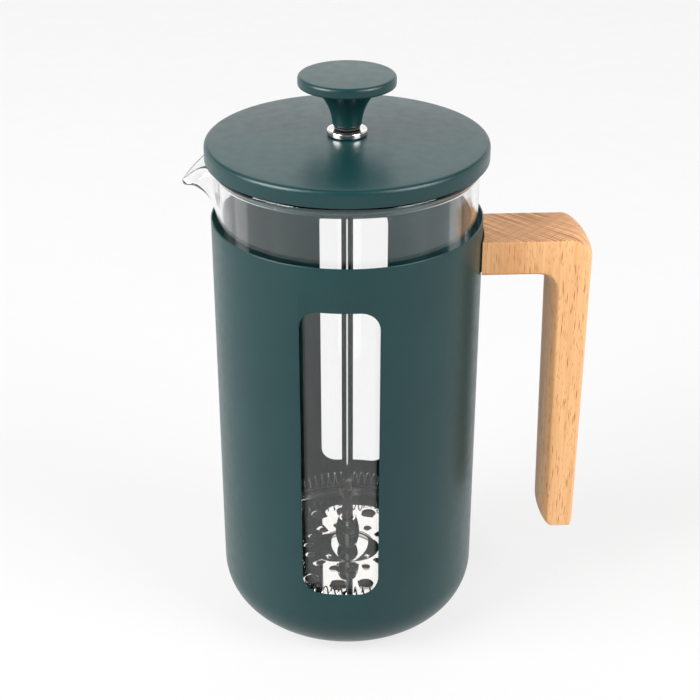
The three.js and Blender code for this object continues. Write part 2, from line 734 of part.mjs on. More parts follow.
// Woven disc turned up round the plate, its edge flared out towards the glass.
function meshGeometry() {
  const wall = PLATE_RADIUS + 0.5;
  const lip = PLATE_RIM_TOP - MESH_SHEET;
  return revolveRing([
    [ROD_CLEARANCE, MESH_UNDERSIDE],
    [wall + MESH_SHEET, MESH_UNDERSIDE],
    [wall + MESH_SHEET, lip],
    [MESH_RADIUS, lip],
    [MESH_RADIUS, PLATE_RIM_TOP],
    [wall, PLATE_RIM_TOP],
    [wall, MESH_TOP],
    [ROD_CLEARANCE, MESH_TOP],
  ], MEDIUM);
}

// A ring and hub joined by spokes, pressed from one sheet.
function crossPlateGeometry() {
  const outline = new THREE.Shape();
  outline.absarc(0, 0, CROSS_RADIUS, 0, 2 * Math.PI, false);
  const bore = new THREE.Path();
  bore.absarc(0, 0, ROD_CLEARANCE, 0, 2 * Math.PI, true);
  outline.holes.push(bore);
  const rimRadius = CROSS_RADIUS - CROSS_RIM;
  const opening = Math.PI / CROSS_SPOKES;
  for (let index = 0; index < CROSS_SPOKES; index += 1) {
    const middle = opening * (2 * index + 1);
    const outerHalf = opening - Math.asin(CROSS_SPOKE_HALF / rimRadius);
    const innerHalf = opening - Math.asin(CROSS_SPOKE_HALF / CROSS_HUB_RADIUS);
    const window = new THREE.Path();
    window.absarc(0, 0, rimRadius, middle - outerHalf, middle + outerHalf, false);
    window.absarc(0, 0, CROSS_HUB_RADIUS, middle + innerHalf, middle - innerHalf, true);
    window.closePath();
    outline.holes.push(window);
  }
  const geometry = new THREE.ExtrudeGeometry(outline, {
    depth: CROSS_SHEET,
    bevelEnabled: false,
    curveSegments: 7,
  });
  geometry.translate(0, 0, CROSS_UNDERSIDE);
  return geometry;
}

function capNutGeometry() {
  const hex = hexPrism(CAP_NUT_ACROSS_FLATS, CAP_NUT_BOTTOM, CAP_NUT_TOP);
  const bore = cylinderAlongZ(ROD_CLEARANCE, ROD_BOTTOM - GAP, CAP_NUT_TOP + 1, COARSE);
  return cut(hex, [bore]);
}

function buildPlunger() {
  const group = new THREE.Group();
  group.add(part('knob', knobGeometry(), TEAL_PAINT()));
  group.add(part('knob_bumper', bumperGeometry(), DARK_RUBBER()));
  group.add(part('plunger_rod', rodGeometry(), STEEL()));
  group.add(part('filter_hub', barrelHubGeometry(), STEEL()));
  group.add(part('spiral_plate', spiralPlateGeometry(), STEEL()));
  group.add(part('filter_spring', springGeometry(), STEEL()));
  group.add(part('mesh_screen', meshGeometry(), STEEL()));
  group.add(part('cross_plate', crossPlateGeometry(), STEEL()));
  group.add(part('cap_nut', capNutGeometry(), STEEL()));
  return group;
}

// ---------------------------------------------------------------- assembly

const frenchPress = new THREE.Group();
frenchPress.add(buildSleeve());
frenchPress.add(buildHandle());
frenchPress.add(buildBeaker());
frenchPress.add(buildLid());
frenchPress.add(buildPlunger());

export default frenchPress;
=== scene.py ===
"""The looks of the French press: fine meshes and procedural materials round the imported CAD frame.

Profiles and outlines are written in millimetres and turned into metres when a mesh is made.
"""

import math

import bmesh
import bpy
import numpy as np
from mathutils import Matrix, Vector


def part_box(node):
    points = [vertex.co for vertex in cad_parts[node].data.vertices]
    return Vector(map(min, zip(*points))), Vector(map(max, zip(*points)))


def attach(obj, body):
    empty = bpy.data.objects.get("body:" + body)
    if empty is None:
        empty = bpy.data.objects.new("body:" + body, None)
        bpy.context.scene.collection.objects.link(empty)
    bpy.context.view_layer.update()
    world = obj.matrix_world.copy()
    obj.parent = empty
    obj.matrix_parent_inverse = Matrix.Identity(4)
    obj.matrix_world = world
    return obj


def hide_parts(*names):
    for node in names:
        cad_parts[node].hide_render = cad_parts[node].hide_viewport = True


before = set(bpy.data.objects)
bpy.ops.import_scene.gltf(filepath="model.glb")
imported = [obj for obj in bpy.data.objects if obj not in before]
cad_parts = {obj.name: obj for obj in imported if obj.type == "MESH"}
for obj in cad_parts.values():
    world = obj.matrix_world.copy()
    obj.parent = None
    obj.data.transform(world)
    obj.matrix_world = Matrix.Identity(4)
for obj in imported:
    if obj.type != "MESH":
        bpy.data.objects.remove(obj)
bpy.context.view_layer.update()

MM = 0.001


def mm_box(node):
    """(lowest, highest) corner of a CAD node in millimetres."""
    low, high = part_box(node)
    return low / MM, high / MM


# ---------------------------------------------------------------- sizes taken from the CAD frame

SLEEVE_LOW, SLEEVE_HIGH = mm_box("sleeve")
SLEEVE_RADIUS = SLEEVE_HIGH.x
SLEEVE_WALL = 0.6
SLEEVE_CORNER = 21.1
SLEEVE_RIM_ROUND = 0.26
WINDOW_HALF = 14.3
WINDOW_LOW = 33.1
WINDOW_HIGH = 152.5
WINDOW_CORNER = 7.0

FOOT_LOW, FOOT_HIGH = mm_box("foot_pad")
CUSHION_LOW, CUSHION_HIGH = mm_box("glass_cushion")
GLASS_LOW, GLASS_HIGH = mm_box("beaker")
GLASS_WALL = 2.2
GLASS_RADIUS = 48.0
GLASS_FLOOR = 2.6
GLASS_CORNER = 18.0

LID_LOW, LID_HIGH = mm_box("lid_cover")
LINER_LOW, LINER_HIGH = mm_box("lid_liner")
COLLAR_LOW, COLLAR_HIGH = mm_box("lid_collar")
KNOB_LOW, KNOB_HIGH = mm_box("knob")
BUMPER_LOW, BUMPER_HIGH = mm_box("knob_bumper")
ROD_LOW, ROD_HIGH = mm_box("plunger_rod")
HUB_LOW, HUB_HIGH = mm_box("filter_hub")
_, PLATE_HIGH = mm_box("spiral_plate")
SPRING_LOW, SPRING_HIGH = mm_box("filter_spring")
MESH_LOW, MESH_HIGH = mm_box("mesh_screen")
HANDLE_LOW, HANDLE_HIGH = mm_box("handle")


# ---------------------------------------------------------------- mesh helpers

def add_object(name, mesh):
    obj = bpy.data.objects.new(name, mesh)
    bpy.context.scene.collection.objects.link(obj)
    return obj


def smooth(mesh, angle=32.0):
    """Smooth shading, with edges sharper than the angle kept crisp."""
    mesh.shade_smooth()
    mesh.set_sharp_from_angle(angle=math.radians(angle))


def grid_object(name, rows, close_rows=False):
    """A surface through a grid of points in millimetres, closed across its columns.

    Rows that shrink to one point become poles.
    """
    rows = np.asarray(rows, dtype=float)
    count, around, _ = rows.shape
    faces = []
    last = count if close_rows else count - 1
    for i in range(last):
        j = (i + 1) % count
        for k in range(around):
            m = (k + 1) % around
            faces.append((i * around + k, i * around + m, j * around + m, j * around + k))
    mesh = bpy.data.meshes.new(name)
    mesh.from_pydata((rows.reshape(-1, 3) * MM).tolist(), [], faces)
    clean(mesh)
    smooth(mesh)
    return add_object(name, mesh)


def clean(mesh):
    """Welds poles and makes every face look outward."""
    work = bmesh.new()
    work.from_mesh(mesh)
    bmesh.ops.remove_doubles(work, verts=work.verts, dist=2e-7)
    bmesh.ops.dissolve_degenerate(work, edges=work.edges, dist=1e-7)
    bmesh.ops.recalc_face_normals(work, faces=work.faces)
    work.to_mesh(mesh)
    work.free()


def ease_corners(corners, closed, steps=5):
    """Turns each corner (radius, height, ease) into a short curve that starts ease before it."""
    points = []
    count = len(corners)
    for i, corner in enumerate(corners):
        here = np.array(corner[:2], dtype=float)
        ease = corner[2] if len(corner) > 2 else 0.0
        at_end = not closed and i in (0, count - 1)
        if ease <= 0 or at_end:
            points.append(here)
            continue
        before = np.array(corners[i - 1][:2], dtype=float)
        after = np.array(corners[(i + 1) % count][:2], dtype=float)
        start = here + (before - here) * min(ease / np.linalg.norm(before - here), 0.5)
        end = here + (after - here) * min(ease / np.linalg.norm(after - here), 0.5)
        for t in np.linspace(0, 1, steps + 1):
            points.append((1 - t) ** 2 * start + 2 * t * (1 - t) * here + t ** 2 * end)
    return np.array(points)


def bezier(start, pull, end, steps):
    """A curve from start to end that leans towards the pull point."""
    start, pull, end = np.array(start), np.array(pull), np.array(end)
    return [
        tuple((1 - t) ** 2 * start + 2 * t * (1 - t) * pull + t ** 2 * end)
        for t in np.linspace(0, 1, steps + 1)
    ]


def circle_rows(profile, segments):
    angles = np.linspace(0, 2 * math.pi, segments, endpoint=False)
    rows = np.zeros((len(profile), segments, 3))
    for i, (radius, height) in enumerate(profile):
        rows[i, :, 0] = radius * np.cos(angles)
        rows[i, :, 1] = radius * np.sin(angles)
        rows[i, :, 2] = height
    return rows


def turned(name, corners, segments=128, ring=False, steps=5):
    """A lathe-turned piece. A ring's profile closes on itself; another one starts and ends on the axis."""
    profile = ease_corners(corners, ring, steps)
    return grid_object(name, circle_rows(profile, segments), close_rows=ring)


def arc_points(centre_r, centre_z, radius, start, end, steps):
    angles = np.radians(np.linspace(start, end, steps + 1))
    return [(centre_r + radius * math.cos(a), centre_z + radius * math.sin(a)) for a in angles]


def rounded_slot(half_width, low, high, corner, steps=12):
    """Outline of an upright rounded rectangle in X and Z."""
    points = []
    corners = (
        (half_width - corner, low + corner, -90),
        (half_width - corner, high - corner, 0),
        (corner - half_width, high - corner, 90),
        (corner - half_width, low + corner, 180),
    )
    for x, z, start in corners:
        points += arc_points(x, z, corner, start, start + 90, steps)
    return points


def prism_along_y(name, outline, half_width, steps=1):
    """A prism on an outline in X and Z, centred on Y = 0, with rings of points along it."""
    work = bmesh.new()
    rings = []
    for y in np.linspace(-half_width, half_width, steps + 1):
        rings.append([work.verts.new((x * MM, y * MM, z * MM)) for x, z in outline])
    work.faces.new(rings[0])
    work.faces.new(list(reversed(rings[-1])))
    count = len(outline)
    for near, far in zip(rings, rings[1:]):
        for i in range(count):
            j = (i + 1) % count
            work.faces.new((near[i], far[i], far[j], near[j]))
    bmesh.ops.recalc_face_normals(work, faces=work.faces)
    mesh = bpy.data.meshes.new(name)
    work.to_mesh(mesh)
    work.free()
    return add_object(name, mesh)


def apply_modifiers(obj):
    """Replaces the mesh by what its modifiers make of it."""
    graph = bpy.context.evaluated_depsgraph_get()
    mesh = bpy.data.meshes.new_from_object(obj.evaluated_get(graph))
    obj.modifiers.clear()
    old = obj.data
    obj.data = mesh
    bpy.data.meshes.remove(old)


def cut_away(obj, tools):
    """Subtracts the tools from the object and deletes them."""
    for tool in tools:
        modifier = obj.modifiers.new("cut", "BOOLEAN")
        modifier.operation = "DIFFERENCE"
        modifier.solver = "EXACT"
        modifier.object = tool
    apply_modifiers(obj)
    for tool in tools:
        mesh = tool.data
        bpy.data.objects.remove(tool)
        bpy.data.meshes.remove(mesh)


def bevel(obj, width, segments=3, angle=40.0):
    """Rounds every edge that is sharper than the angle."""
    modifier = obj.modifiers.new("bevel", "BEVEL")
    modifier.width = width * MM
    modifier.segments = segments
    modifier.limit_method = "ANGLE"
    modifier.angle_limit = math.radians(angle)
    modifier.harden_normals = False
    apply_modifiers(obj)


def finish_piece(obj, body, nodes, material):
    """Material, body, replaced CAD nodes and material slot of one piece."""
    obj.data.materials.clear()
    obj.data.materials.append(material)
    if nodes:
        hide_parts(*nodes)
    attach(obj, body)


# ---------------------------------------------------------------- material helpers

class Graph:
    """A material's node tree, with short ways to add and join nodes."""

    def __init__(self, name):
        self.material = bpy.data.materials.new(name)
        self.material.use_nodes = True
        self.tree = self.material.node_tree
        self.shader = self.tree.nodes["Principled BSDF"]
        coordinates = self.tree.nodes.new("ShaderNodeTexCoord")
        self.place = coordinates.outputs["Object"]

    def feed(self, socket, value):
        if isinstance(value, bpy.types.NodeSocket):
            self.tree.links.new(value, socket)
        else:
            socket.default_value = value

    def set(self, **values):
        """Sets or links inputs of the main shader; underscores stand for spaces."""
        for name, value in values.items():
            self.feed(self.shader.inputs[name.replace("_", " ")], value)

    def node(self, kind, inputs=None, **settings):
        node = self.tree.nodes.new("ShaderNode" + kind)
        for key, value in settings.items():
            setattr(node, key, value)
        for socket, value in (inputs or {}).items():
            self.feed(node.inputs[socket], value)
        return node

    def math(self, operation, a, b=0.0):
        return self.node("Math", {0: a, 1: b}, operation=operation).outputs[0]

    def stretch(self, x, y, z, vector=None):
        """The place, scaled along each axis."""
        inputs = {0: vector or self.place, 1: (x, y, z)}
        return self.node("VectorMath", inputs, operation="MULTIPLY").outputs[0]

    def noise(self, scale, detail=2.0, roughness=0.5, vector=None, distortion=0.0):
        inputs = {
            "Vector": vector or self.place,
            "Scale": scale,
            "Detail": detail,
            "Roughness": roughness,
            "Distortion": distortion,
        }
        return self.node("TexNoise", inputs).outputs["Fac"]

    def remap(self, value, low, high, to_low, to_high):
        inputs = {"Value": value, "From Min": low, "From Max": high, "To Min": to_low, "To Max": to_high}
        return self.node("MapRange", inputs).outputs["Result"]

    def ramp(self, value, stops):
        """A colour ramp with stops of (position, colour)."""
        node = self.node("ValToRGB", {"Fac": value})
        elements = node.color_ramp.elements
        for element, (position, colour) in zip(elements, (stops[0], stops[-1])):
            element.position = position
            element.color = (*colour, 1)
        for position, colour in stops[1:-1]:
            elements.new(position).color = (*colour, 1)
        return node.outputs["Color"]

    def blend(self, factor, a, b, mode="MIX"):
        node = self.node("Mix", {"Factor": factor}, data_type="RGBA", blend_type=mode)
        self.feed(node.inputs["A"], a)
        self.feed(node.inputs["B"], b)
        return node.outputs["Result"]

    def bump(self, height, depth, strength=1.0, below=None):
        """Adds relief of that depth in millimetres, on top of another relief if one is given."""
        inputs = {"Height": height, "Distance": depth * MM, "Strength": strength}
        if below:
            inputs["Normal"] = below
        normal = self.node("Bump", inputs).outputs["Normal"]
        self.feed(self.shader.inputs["Normal"], normal)
        return normal


def rgb(*values):
    return (*values, 1)


# ---------------------------------------------------------------- materials

def powder_coat(name, dark, light, roughness):
    """Baked paint with a fine grain, faint clouding and slightly uneven gloss."""
    graph = Graph(name)
    cloud = graph.noise(38, detail=4, roughness=0.6)
    speck = graph.noise(2900, detail=1)
    tint = graph.blend(graph.remap(cloud, 0.3, 0.7, 0, 1), rgb(*dark), rgb(*light))
    tint = graph.blend(graph.remap(speck, 0.4, 0.8, 0, 0.12), tint, rgb(*[1.6 * c for c in light]))
    graph.set(
        Base_Color=tint,
        Roughness=graph.remap(graph.noise(240, detail=3), 0.3, 0.7, roughness - 0.03, roughness + 0.04),
        Specular_IOR_Level=0.36,
    )
    grain = graph.bump(graph.noise(1300, detail=2, roughness=0.55), 0.012)
    graph.bump(speck, 0.004, below=grain)
    return graph.material


def clear_glass():
    """Borosilicate glass with the faintest waviness of a blown wall."""
    graph = Graph("borosilicate_glass")
    graph.set(
        Base_Color=rgb(0.990, 0.993, 0.991),
        Roughness=graph.remap(graph.noise(90, detail=2), 0.3, 0.7, 0.0, 0.004),
        IOR=1.47,
        Transmission_Weight=1.0,
    )
    graph.bump(graph.noise(28, detail=1), 0.01, strength=0.4)
    return graph.material


def polished_steel(name="polished_steel", roughness=0.035):
    """Mirror-finished stainless steel with hair scratches."""
    graph = Graph(name)
    scratches = graph.noise(900, detail=3, vector=graph.stretch(1, 0.06, 1), distortion=0.4)
    wiping = graph.noise(55, detail=4)
    graph.set(
        Base_Color=graph.blend(wiping, rgb(0.70, 0.68, 0.655), rgb(0.77, 0.755, 0.735)),
        Metallic=1.0,
        Roughness=graph.remap(scratches, 0.35, 0.8, roughness - 0.02, roughness + 0.03),
    )
    graph.bump(graph.noise(130, detail=2), 0.002)
    return graph.material


def satin_steel():
    """Brushed stainless steel."""
    graph = Graph("satin_steel")
    lines = graph.noise(1400, detail=4, vector=graph.stretch(1, 0.05, 1))
    graph.set(
        Base_Color=graph.blend(lines, rgb(0.50, 0.495, 0.48), rgb(0.62, 0.615, 0.60)),
        Metallic=1.0,
        Roughness=graph.remap(lines, 0.3, 0.7, 0.24, 0.40),
    )
    graph.bump(lines, 0.01)
    return graph.material


def plain_brass():
    graph = Graph("turned_brass")
    lines = graph.noise(1100, detail=3, vector=graph.stretch(1, 0.2, 0.2))
    graph.set(
        Base_Color=graph.blend(lines, rgb(0.50, 0.34, 0.12), rgb(0.66, 0.48, 0.20)),
        Metallic=1.0,
        Roughness=graph.remap(lines, 0.3, 0.7, 0.26, 0.42),
    )
    graph.bump(lines, 0.01)
    return graph.material


def dull_rubber():
    """Black rubber with a soft grain and a little dust."""
    graph = Graph("dull_rubber")
    dust = graph.noise(700, detail=5, roughness=0.7)
    dusty = graph.remap(dust, 0.55, 0.8, 0, 1)
    graph.set(
        Base_Color=graph.blend(dusty, rgb(0.007, 0.007, 0.0075), rgb(0.03, 0.029, 0.028)),
        Roughness=graph.remap(dust, 0.3, 0.7, 0.58, 0.75),
    )
    graph.bump(graph.noise(2600, detail=2), 0.012)
    return graph.material


def woven_screen():
    """Woven wire cloth: two crossed sets of wires, with painted shade in the open gaps between them."""
    graph = Graph("woven_wire_cloth")
    pitch = 0.0005
    split = graph.node("SeparateXYZ", {0: graph.place})
    warp = graph.math("SINE", graph.math("MULTIPLY", split.outputs[0], 2 * math.pi / pitch))
    weft = graph.math("SINE", graph.math("MULTIPLY", split.outputs[1], 2 * math.pi / pitch))
    height = graph.math("MAXIMUM", warp, weft)
    # Painted shade: the solid sheet has no openings, so the gaps between the wires are coloured near black
    # to stand for the shade seen through an open weave.
    wire_not_painted_gap_shade = graph.remap(height, -0.1, 0.7, 0, 1)
    shade = graph.noise(300, detail=3)
    wire = graph.blend(shade, rgb(0.16, 0.145, 0.13), rgb(0.30, 0.28, 0.26))
    graph.set(
        Base_Color=graph.blend(wire_not_painted_gap_shade, rgb(0.008, 0.0075, 0.007), wire),
        Metallic=0.9,
        Roughness=graph.remap(shade, 0.3, 0.7, 0.3, 0.45),
    )
    graph.bump(height, 0.06)
    return graph.material


def beech():
    """Beech with its grain upright: growth rings, rays and short dark flecks.

    The tree's heart stands behind and beside the handle. The rays run away from it, so they are
    long lines on the end grain and short upright flecks on the sides.
    """
    heart = (-0.026, 0.085)
    graph = Graph("beech")
    split = graph.node("SeparateXYZ", {0: graph.place})
    x, y, z = (split.outputs[i] for i in range(3))
    sway = graph.math("MULTIPLY", graph.math("SUBTRACT", graph.noise(16, detail=2), 0.5), 0.004)
    from_x = graph.math("ADD", graph.math("SUBTRACT", x, heart[0]), sway)
    from_y = graph.math("SUBTRACT", y, heart[1])
    squared_x = graph.math("MULTIPLY", from_x, from_x)
    squared_y = graph.math("MULTIPLY", from_y, from_y)
    radius = graph.math("SQRT", graph.math("ADD", squared_x, squared_y))
    turn = graph.math("ARCTAN2", from_x, graph.math("MULTIPLY", from_y, -1.0))

    ring = graph.math("FRACT", graph.math("DIVIDE", radius, 0.0042))
    late = graph.math("POWER", ring, 5.0)

    def ray_cells(across, along, upright, shift):
        """Long thin cells: so many per radian, per metre from the heart and per metre of height."""
        place = graph.node("CombineXYZ", {
            0: graph.math("ADD", graph.math("MULTIPLY", turn, across), shift),
            1: graph.math("ADD", graph.math("MULTIPLY", radius, along), 3 * shift),
            2: graph.math("ADD", graph.math("MULTIPLY", z, upright), 7 * shift),
        }).outputs[0]
        inputs = {"Vector": place, "Scale": 1.0, "Randomness": 1.0}
        return graph.node("TexVoronoi", inputs).outputs["Distance"]

    long_fleck = graph.remap(ray_cells(270, 34, 95, 0.0), 0.10, 0.27, 1, 0)
    short_fleck = graph.remap(ray_cells(430, 60, 210, 11.3), 0.10, 0.27, 1, 0)
    fleck = graph.math("MAXIMUM", long_fleck, graph.math("MULTIPLY", short_fleck, 0.7))

    fibre = graph.noise(1500, detail=4, roughness=0.65, vector=graph.stretch(1, 1, 0.02))
    streak = graph.noise(210, detail=3, vector=graph.stretch(1, 1, 0.04))
    broad = graph.noise(40, detail=2, vector=graph.stretch(1, 1, 0.2))

    base = graph.ramp(broad, [(0.3, (0.617, 0.338, 0.153)), (0.7, (0.699, 0.411, 0.201))])
    base = graph.blend(graph.remap(streak, 0.4, 0.75, 0, 0.75), base, rgb(0.535, 0.264, 0.106))
    base = graph.blend(graph.math("MULTIPLY", late, 0.20), base, rgb(0.401, 0.180, 0.070))
    base = graph.blend(graph.remap(fibre, 0.45, 0.75, 0, 0.6), base, rgb(0.468, 0.223, 0.093))
    sides = graph.blend(graph.math("MULTIPLY", fleck, 0.9), base, rgb(0.215, 0.068, 0.020))

    rays = graph.noise(1.0, detail=1, vector=graph.node("CombineXYZ", {
        0: graph.math("MULTIPLY", turn, 400),
        1: graph.math("MULTIPLY", radius, 24),
        2: 0.0,
    }).outputs[0])
    pores = graph.noise(2600, detail=3, roughness=0.7)
    porous = graph.remap(pores, 0.35, 0.7, 0.1, 0.8)
    ends = graph.blend(porous, rgb(0.700, 0.385, 0.185), rgb(0.560, 0.280, 0.125))
    ends = graph.blend(graph.remap(rays, 0.46, 0.60, 0, 0.95), ends, rgb(0.210, 0.080, 0.027))
    ends = graph.blend(graph.math("MULTIPLY", late, 0.30), ends, rgb(0.210, 0.086, 0.033))

    facing = graph.node("SeparateXYZ", {0: graph.node("NewGeometry").outputs["Normal"]}).outputs[2]
    end_grain = graph.remap(graph.math("ABSOLUTE", facing), 0.30, 0.85, 0, 1)

    graph.set(
        Base_Color=graph.blend(end_grain, sides, ends),
        Roughness=graph.remap(fibre, 0.3, 0.7, 0.46, 0.60),
        Specular_IOR_Level=0.22,
    )
    relief = graph.bump(fibre, 0.02)
    graph.bump(fleck, -0.015, below=relief)
    return graph.material


# ---------------------------------------------------------------- sleeve

def build_sleeve(paint):
    centre = SLEEVE_RADIUS - SLEEVE_CORNER
    corner_z = SLEEVE_LOW.z + SLEEVE_CORNER
    ceiling = FOOT_HIGH.z + 0.3
    recess = FOOT_HIGH.x + 0.6
    floor = ceiling + SLEEVE_WALL
    top = SLEEVE_HIGH.z
    rim = SLEEVE_RIM_ROUND
    outside = [
        (0, ceiling),
        (recess - 0.3, ceiling),
        (recess, ceiling - 0.2),
        (recess, SLEEVE_LOW.z + 0.15),
        (recess + 0.2, SLEEVE_LOW.z),
        *arc_points(centre, corner_z, SLEEVE_CORNER, -90, 0, 20),
        *[(SLEEVE_RADIUS, z) for z in np.linspace(corner_z + 8, top - 6, 8)],
        *arc_points(SLEEVE_RADIUS - rim, top - rim, rim, 0, 90, 4),
    ]
    inner = SLEEVE_RADIUS - SLEEVE_WALL
    inside = [
        *arc_points(inner + rim, top - rim, rim, 90, 180, 4),
        *[(inner, z) for z in np.linspace(top - 6, corner_z + 8, 8)],
        *arc_points(centre, corner_z, SLEEVE_CORNER - SLEEVE_WALL, 0, -90, 20),
        (recess + SLEEVE_WALL, SLEEVE_LOW.z + SLEEVE_WALL),
        (recess + SLEEVE_WALL, floor),
        (0, floor),
    ]
    sleeve = grid_object("sleeve_shell", circle_rows(np.array(outside + inside), 240))
    outline = rounded_slot(WINDOW_HALF, WINDOW_LOW, WINDOW_HIGH, WINDOW_CORNER)
    cut_away(sleeve, [prism_along_y("window_tool", outline, SLEEVE_RADIUS + 20)])
    bevel(sleeve, 0.14, segments=2, angle=50)
    smooth(sleeve.data)
    finish_piece(sleeve, "sleeve_body", ["sleeve"], paint)


def build_pads(rubber):
    foot = turned("foot_disc", [
        (0, FOOT_LOW.z),
        (FOOT_HIGH.x - 3.2, FOOT_LOW.z, 0.3),
        (FOOT_HIGH.x - 2.8, FOOT_LOW.z + 0.35, 0.2),
        (FOOT_HIGH.x - 2.0, FOOT_LOW.z + 0.35, 0.2),
        (FOOT_HIGH.x - 1.6, FOOT_LOW.z, 0.3),
        (FOOT_HIGH.x, FOOT_LOW.z, 0.3),
        (FOOT_HIGH.x, FOOT_HIGH.z, 0.2),
        (0, FOOT_HIGH.z),
    ], 160)
    finish_piece(foot, "sleeve_body", ["foot_pad"], rubber)
    cushion = turned("cushion_disc", [
        (0, CUSHION_LOW.z),
        (CUSHION_HIGH.x, CUSHION_LOW.z, 0.4),
        (CUSHION_HIGH.x, CUSHION_HIGH.z, 0.4),
        (0, CUSHION_HIGH.z),
    ], 160)
    finish_piece(cushion, "sleeve_body", ["glass_cushion"], rubber)


# ---------------------------------------------------------------- handle

HANDLE_TURN = math.radians(6)
HANDLE_WIDTH = 27.4
HANDLE_BACK = 91.0
GRIP_FRONT_TOP = 77.7
GRIP_FRONT = 79.9
ARM_HEIGHT = 12.6
ARM_START = 40.0  # inside the sleeve, before the arm's end is scribed to it
INNER_CORNER = 9.0
OUTER_CORNER = 9.0
BACK_BOW = 2.5  # how far the grip's outer face falls away at its long edges
INNER_BOW = 2.4  # how far the side towards the sleeve swells between its edges


def handle_outline():
    """Side view in X and Z: a level arm that bends down into a grip with a tapered inner face."""
    top = HANDLE_HIGH.z
    bottom = HANDLE_LOW.z
    arm_low = top - ARM_HEIGHT
    corners = [
        (ARM_START, arm_low),
        (GRIP_FRONT_TOP, arm_low, INNER_CORNER),
        (GRIP_FRONT, bottom, 2.6),
        (HANDLE_BACK, bottom, 0.6),
        *arc_points(HANDLE_BACK - OUTER_CORNER, top - OUTER_CORNER, OUTER_CORNER, 0, 90, 18),
        (ARM_START, top),
    ]
    return ease_corners(corners, closed=False, steps=14)


def bow_back(mesh):
    """Rounds the outer face of the grip across its width."""
    for vertex in mesh.vertices:
        outward = max((vertex.co.x / MM - GRIP_FRONT) / (HANDLE_BACK - GRIP_FRONT), 0)
        aside = abs(vertex.co.y / MM) / (HANDLE_WIDTH / 2)
        vertex.co.x -= BACK_BOW * MM * outward * aside ** 3


def bow_inner(mesh):
    """Swells the arm's underside and the grip's inner face between their long edges."""
    arm_low = HANDLE_HIGH.z - ARM_HEIGHT
    for vertex in mesh.vertices:
        x, y, z = vertex.co / MM
        if z > arm_low + 1:
            continue
        past_front = min(max(x - GRIP_FRONT, 0) / 2, 1)
        aside = abs(y) / (HANDLE_WIDTH / 2)
        swell = INNER_BOW * (1 - past_front) * math.sqrt(max(1 - aside ** 2, 0))
        across = min(max((x - GRIP_FRONT_TOP) / INNER_CORNER + 1, 0), 1)
        down = min(max((arm_low - z) / INNER_CORNER, 0), 1)
        turn = math.pi / 4 * (across + down)
        vertex.co.x -= swell * MM * math.sin(turn)
        vertex.co.z -= swell * MM * math.cos(turn)


def can_tool(radius):
    """A tall cylinder round the sleeve's axis, to scribe a piece to the sleeve."""
    low, high = 130, 180  # well past the arm, below and above
    profile = np.array([(0, low), (radius, low), (radius, high), (0, high)])
    return grid_object("scribe_tool", circle_rows(profile, 240))


def build_gasket(rubber):
    """A thin saddle that fills the joint between the sleeve and the end of the arm."""
    low, high = HANDLE_HIGH.z - ARM_HEIGHT + 0.5, HANDLE_HIGH.z - 0.5
    half = HANDLE_WIDTH / 2 - 0.6
    outer = SLEEVE_RADIUS + 0.55
    outline = [(ARM_START, low), (outer, low), (outer, high), (ARM_START, high)]
    gasket = prism_along_y("arm_gasket", outline, half)
    gasket.data.transform(Matrix.Rotation(HANDLE_TURN, 4, "Z"))
    cut_away(gasket, [can_tool(SLEEVE_RADIUS + 0.02)])
    bevel(gasket, 0.12, segments=2)
    smooth(gasket.data)
    finish_piece(gasket, "sleeve_body", ["handle_gasket"], rubber)


def build_handle(wood):
    handle = prism_along_y("handle_grip", handle_outline(), HANDLE_WIDTH / 2, steps=24)
    bevel(handle, 0.9, segments=5, angle=60)
    bow_back(handle.data)
    bow_inner(handle.data)
    handle.data.transform(Matrix.Rotation(HANDLE_TURN, 4, "Z"))
    cut_away(handle, [can_tool(SLEEVE_RADIUS + 0.6)])
    smooth(handle.data, 30)
    finish_piece(handle, "sleeve_body", ["handle"], wood)


# ---------------------------------------------------------------- beaker

SPOUT_ROOT = 163.0
SPOUT_HALF = math.radians(20)
SPOUT_ROUND = math.radians(2)
SPOUT_REACH = 12.3
SPOUT_DROP = 10.2


def glass_centre_line():
    """(radius, height, half thickness) from the middle of the floor up to the rim."""
    half = GLASS_WALL / 2
    middle = GLASS_RADIUS - half
    floor = GLASS_LOW.z + GLASS_FLOOR / 2
    bend = GLASS_CORNER - half
    rim = 1.6  # half thickness of the beaded rim
    swell = 2.3  # height over which the wall thickens into it
    points = [(r, floor, GLASS_FLOOR / 2) for r in np.linspace(0, middle - bend, 6, endpoint=False)]
    for r, z in arc_points(middle - bend, floor + bend, bend, -90, 0, 18):
        points.append((r, z, half))
    points += [(middle, z, half) for z in np.linspace(floor + bend + 6, SPOUT_ROOT, 10)]
    top = GLASS_HIGH.z - rim
    for z in np.linspace(SPOUT_ROOT + 1.2, top, 34):
        bead = min(max((z - (top - swell)) / swell, 0), 1)
        bead = bead * bead * (3 - 2 * bead)
        points.append((middle + 1.1 * bead, z, half + (rim - half) * bead))
    return points


def pull_spout(rows):
    """Pushes the wall out into the spout and lets its lip droop towards the tip."""
    x, y, z = rows[..., 0], rows[..., 1], rows[..., 2]
    turn = np.arctan2(y, -x)
    angle = turn - 0.5 * np.sin(turn)
    off_axis = np.hypot(angle, SPOUT_ROUND)
    closeness = np.clip((SPOUT_HALF - off_axis) / (SPOUT_HALF - SPOUT_ROUND), 0, 1)
    height = np.clip((z - SPOUT_ROOT) / (GLASS_HIGH.z - SPOUT_ROOT), 0, 1)
    radius = np.hypot(x, y) + SPOUT_REACH * (closeness * height) ** 2.2
    rows[..., 0] = -radius * np.cos(angle)
    rows[..., 1] = radius * np.sin(angle)
    rows[..., 2] = z - SPOUT_DROP * closeness ** 3 * height ** 2


